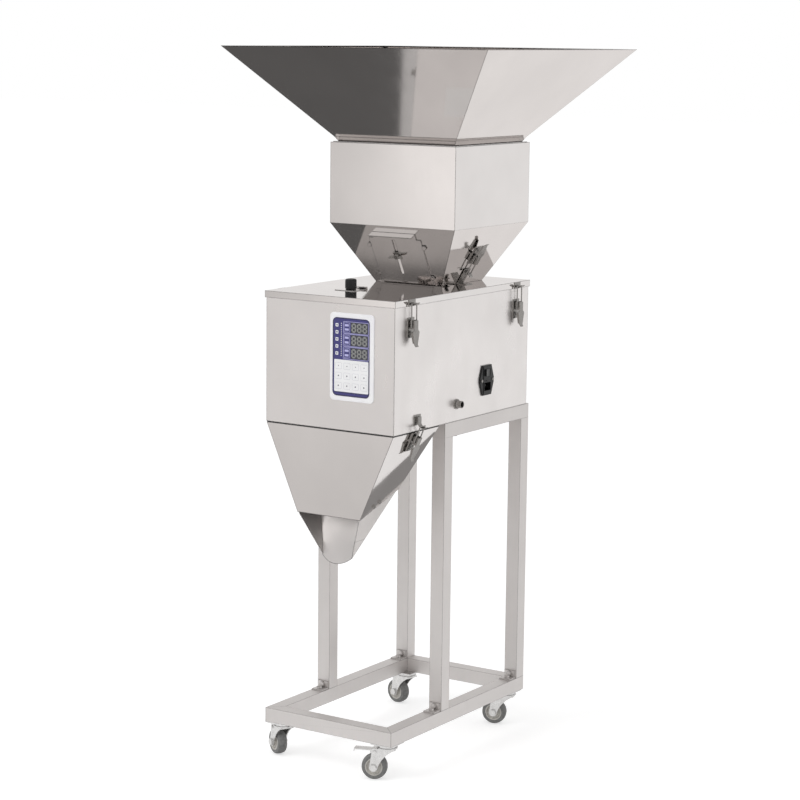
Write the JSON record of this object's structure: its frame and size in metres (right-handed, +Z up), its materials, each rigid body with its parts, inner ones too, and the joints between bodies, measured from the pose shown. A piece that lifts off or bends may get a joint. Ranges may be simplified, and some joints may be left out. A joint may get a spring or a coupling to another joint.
{
  "type": "weighing filling machine",
  "caption": "Floor-standing granule weighing and filling machine: large hopper over an upper bin, housing with control panel, discharge funnel, and a tube stand on casters.",
  "frame": {"origin": "centre of the whole machine's bounding box, on the floor", "axes": "+X to the right along the control panel's face, +Y to the back, +Z up"},
  "size_m": [0.6, 0.6313, 1.373],
  "materials": {
    "stainless": "polished stainless sheet",
    "tube": "satin stainless tube",
    "zinc": "bright zinc plate",
    "tyre": "grey cushion rubber",
    "seal": "black rubber strip",
    "panel_white": "white plastic plate",
    "panel_blue": "printed membrane film",
    "black_plastic": "black moulded plastic",
    "alloy": "machined aluminium",
    "board": "circuit board",
    "motor": "painted motor and drive case"
  },
  "bodies": {
    "machine": {"base_frame": "tube", "upper_stand": "tube", "foot_brackets": "zinc", "caster_plates": "zinc", "housing": "stainless", "lid": "stainless", "panel_plate": "panel_white", "panel_film": "panel_blue", "power_inlet": "black_plastic", "signal_socket": "zinc", "latch_fixtures": "stainless", "upper_hopper": "stainless", "funnel": "stainless", "funnel_seal": "seal", "nozzle": "stainless", "fixings": "zinc", "feeder_tray": "stainless", "feeder_drive": "motor", "load_cell": "alloy", "weigh_bucket": "stainless", "door_motor": "motor", "control_board": "board"},
    "swivel_front_left": {"caster_fork_front_left": "zinc", "caster_axle_front_left": "zinc"},
    "wheel_front_left": {"caster_wheel_front_left": "tyre"},
    "brake_front_left": {"caster_brake_front_left": "zinc"},
    "swivel_front_right": {"caster_fork_front_right": "zinc", "caster_axle_front_right": "zinc"},
    "wheel_front_right": {"caster_wheel_front_right": "tyre"},
    "brake_front_right": {"caster_brake_front_right": "zinc"},
    "swivel_rear_left": {"caster_fork_rear_left": "zinc", "caster_axle_rear_left": "zinc"},
    "wheel_rear_left": {"caster_wheel_rear_left": "tyre"},
    "swivel_rear_right": {"caster_fork_rear_right": "zinc", "caster_axle_rear_right": "zinc"},
    "wheel_rear_right": {"caster_wheel_rear_right": "tyre"},
    "lever_lid_front_right": {"latch_lever_lid_front_right": "stainless"},
    "bail_lid_front_right": {"latch_bail_lid_front_right": "stainless"},
    "lever_lid_rear_right": {"latch_lever_lid_rear_right": "stainless"},
    "bail_lid_rear_right": {"latch_bail_lid_rear_right": "stainless"},
    "lever_funnel_right": {"latch_lever_funnel_right": "stainless"},
    "bail_funnel_right": {"latch_bail_funnel_right": "stainless"},
    "lever_hopper_right": {"latch_lever_hopper_right": "stainless"},
    "bail_hopper_right": {"latch_bail_hopper_right": "stainless"},
    "lever_lid_front_left": {"latch_lever_lid_front_left": "stainless"},
    "bail_lid_front_left": {"latch_bail_lid_front_left": "stainless"},
    "lever_lid_rear_left": {"latch_lever_lid_rear_left": "stainless"},
    "bail_lid_rear_left": {"latch_bail_lid_rear_left": "stainless"},
    "lever_funnel_left": {"latch_lever_funnel_left": "stainless"},
    "bail_funnel_left": {"latch_bail_funnel_left": "stainless"},
    "lever_hopper_left": {"latch_lever_hopper_left": "stainless"},
    "bail_hopper_left": {"latch_bail_hopper_left": "stainless"},
    "gate": {"gate_plate": "stainless"},
    "gate_screw": {"wing_screw": "zinc"},
    "inspection_flap": {"lid_flap": "stainless", "flap_knob": "black_plastic"},
    "rocker": {"power_switch": "black_plastic"},
    "drawer": {"fuse_drawer": "black_plastic"},
    "weigh_door": {"bucket_door": "stainless"},
    "hopper": {"big_hopper": "stainless"}
  },
  "joints": [
    {"name": "swivel_front_left", "type": "hinge", "parent": "machine", "child": "swivel_front_left", "pos_m": [-0.122, -0.2835, 0.065], "axis": [0, 0, 1], "continuous": true},
    {"name": "roll_front_left", "type": "hinge", "parent": "swivel_front_left", "child": "wheel_front_left", "pos_m": [-0.14319, -0.27223, 0.025], "axis": [0.4695, 0.8829, 0], "continuous": true},
    {"name": "brake_front_left", "type": "hinge", "parent": "swivel_front_left", "child": "brake_front_left", "pos_m": [-0.14142, -0.27317, 0.056], "axis": [-0.4695, -0.8829, 0], "range_deg": [0, 16]},
    {"name": "swivel_front_right", "type": "hinge", "parent": "machine", "child": "swivel_front_right", "pos_m": [0.122, -0.2835, 0.065], "axis": [0, 0, 1], "continuous": true},
    {"name": "roll_front_right", "type": "hinge", "parent": "swivel_front_right", "child": "wheel_front_right", "pos_m": [0.09975, -0.29249, 0.025], "axis": [-0.3746, 0.9272, 0], "continuous": true},
    {"name": "brake_front_right", "type": "hinge", "parent": "swivel_front_right", "child": "brake_front_right", "pos_m": [0.1016, -0.29174, 0.056], "axis": [0.3746, -0.9272, 0], "range_deg": [0, 16]},
    {"name": "swivel_rear_left", "type": "hinge", "parent": "machine", "child": "swivel_rear_left", "pos_m": [-0.122, 0.1545, 0.065], "axis": [0, 0, 1], "continuous": true},
    {"name": "roll_rear_left", "type": "hinge", "parent": "swivel_rear_left", "child": "wheel_rear_left", "pos_m": [-0.14556, 0.15908, 0.025], "axis": [0.1908, 0.9816, 0], "continuous": true},
    {"name": "swivel_rear_right", "type": "hinge", "parent": "machine", "child": "swivel_rear_right", "pos_m": [0.122, 0.1545, 0.065], "axis": [0, 0, 1], "continuous": true},
    {"name": "roll_rear_right", "type": "hinge", "parent": "swivel_rear_right", "child": "wheel_rear_right", "pos_m": [0.09893, 0.14788, 0.025], "axis": [-0.2756, 0.9613, 0], "continuous": true},
    {"name": "latch_lid_front_right", "type": "hinge", "parent": "machine", "child": "lever_lid_front_right", "pos_m": [0.154, -0.2565, 0.875], "axis": [0, -1, 0], "range_deg": [0, 110]},
    {"name": "bail_lid_front_right", "type": "hinge", "parent": "lever_lid_front_right", "child": "bail_lid_front_right", "pos_m": [0.154, -0.2565, 0.866], "axis": [0, -1, 0], "range_deg": [-110, 0]},
    {"name": "latch_lid_rear_right", "type": "hinge", "parent": "machine", "child": "lever_lid_rear_right", "pos_m": [0.154, 0.1235, 0.875], "axis": [0, -1, 0], "range_deg": [0, 110]},
    {"name": "bail_lid_rear_right", "type": "hinge", "parent": "lever_lid_rear_right", "child": "bail_lid_rear_right", "pos_m": [0.154, 0.1235, 0.866], "axis": [0, -1, 0], "range_deg": [-110, 0]},
    {"name": "latch_funnel_right", "type": "hinge", "parent": "machine", "child": "lever_funnel_right", "pos_m": [0.14848, -0.2305, 0.65278], "axis": [0, -1, 0], "range_deg": [0, 110]},
    {"name": "bail_funnel_right", "type": "hinge", "parent": "lever_funnel_right", "child": "bail_funnel_right", "pos_m": [0.14486, -0.2305, 0.64454], "axis": [0, -1, 0], "range_deg": [-110, 0]},
    {"name": "latch_hopper_right", "type": "hinge", "parent": "machine", "child": "lever_hopper_right", "pos_m": [0.1117, 0.0215, 0.96158], "axis": [0, 1, 0], "range_deg": [0, 110]},
    {"name": "bail_hopper_right", "type": "hinge", "parent": "lever_hopper_right", "child": "bail_hopper_right", "pos_m": [0.11622, 0.0215, 0.96935], "axis": [0, 1, 0], "range_deg": [-110, 0]},
    {"name": "latch_lid_front_left", "type": "hinge", "parent": "machine", "child": "lever_lid_front_left", "pos_m": [-0.154, -0.2565, 0.875], "axis": [0, 1, 0], "range_deg": [0, 110]},
    {"name": "bail_lid_front_left", "type": "hinge", "parent": "lever_lid_front_left", "child": "bail_lid_front_left", "pos_m": [-0.154, -0.2565, 0.866], "axis": [0, 1, 0], "range_deg": [-110, 0]},
    {"name": "latch_lid_rear_left", "type": "hinge", "parent": "machine", "child": "lever_lid_rear_left", "pos_m": [-0.154, 0.1235, 0.875], "axis": [0, 1, 0], "range_deg": [0, 110]},
    {"name": "bail_lid_rear_left", "type": "hinge", "parent": "lever_lid_rear_left", "child": "bail_lid_rear_left", "pos_m": [-0.154, 0.1235, 0.866], "axis": [0, 1, 0], "range_deg": [-110, 0]},
    {"name": "latch_funnel_left", "type": "hinge", "parent": "machine", "child": "lever_funnel_left", "pos_m": [-0.14848, -0.2305, 0.65278], "axis": [0, 1, 0], "range_deg": [0, 110]},
    {"name": "bail_funnel_left", "type": "hinge", "parent": "lever_funnel_left", "child": "bail_funnel_left", "pos_m": [-0.14486, -0.2305, 0.64454], "axis": [0, 1, 0], "range_deg": [-110, 0]},
    {"name": "latch_hopper_left", "type": "hinge", "parent": "machine", "child": "lever_hopper_left", "pos_m": [-0.1117, 0.0215, 0.96158], "axis": [0, -1, 0], "range_deg": [0, 110]},
    {"name": "bail_hopper_left", "type": "hinge", "parent": "lever_hopper_left", "child": "bail_hopper_left", "pos_m": [-0.11622, 0.0215, 0.96935], "axis": [0, -1, 0], "range_deg": [-110, 0]},
    {"name": "gate_slide", "type": "slide", "parent": "machine", "child": "gate", "axis": [0, -0.4743, 0.8803], "range_m": [0, 0.038]},
    {"name": "gate_screw_turn", "type": "hinge", "parent": "machine", "child": "gate_screw", "pos_m": [-0.004, -0.07367, 0.97578], "axis": [0, -0.8803, -0.4743], "range_deg": [0, 340]},
    {"name": "flap_hinge", "type": "hinge", "parent": "machine", "child": "inspection_flap", "pos_m": [-0.027, -0.1755, 0.9196], "axis": [-1, 0, 0], "range_deg": [0, 105]},
    {"name": "power_rocker", "type": "hinge", "parent": "machine", "child": "rocker", "pos_m": [0.1472, 0.0145, 0.749], "axis": [0, 0, -1], "range_deg": [0, 12]},
    {"name": "fuse_drawer_slide", "type": "slide", "parent": "machine", "child": "drawer", "axis": [1, 0, 0], "range_m": [0, 0.022]},
    {"name": "weigh_door_hinge", "type": "hinge", "parent": "machine", "child": "weigh_door", "pos_m": [0, -0.1815, 0.706], "axis": [1, 0, 0], "range_deg": [0, 75]},
    {"name": "hopper_lift", "type": "slide", "parent": "machine", "child": "hopper", "axis": [0, 0, 1], "range_m": [0, 0.15]}
  ],
  "couplings": [
    {"joint": "bail_lid_front_right", "follows": "latch_lid_front_right", "ratio": -1},
    {"joint": "bail_lid_rear_right", "follows": "latch_lid_rear_right", "ratio": -1},
    {"joint": "bail_funnel_right", "follows": "latch_funnel_right", "ratio": -1},
    {"joint": "bail_hopper_right", "follows": "latch_hopper_right", "ratio": -1},
    {"joint": "bail_lid_front_left", "follows": "latch_lid_front_left", "ratio": -1},
    {"joint": "bail_lid_rear_left", "follows": "latch_lid_rear_left", "ratio": -1},
    {"joint": "bail_funnel_left", "follows": "latch_funnel_left", "ratio": -1},
    {"joint": "bail_hopper_left", "follows": "latch_hopper_left", "ratio": -1}
  ]
}
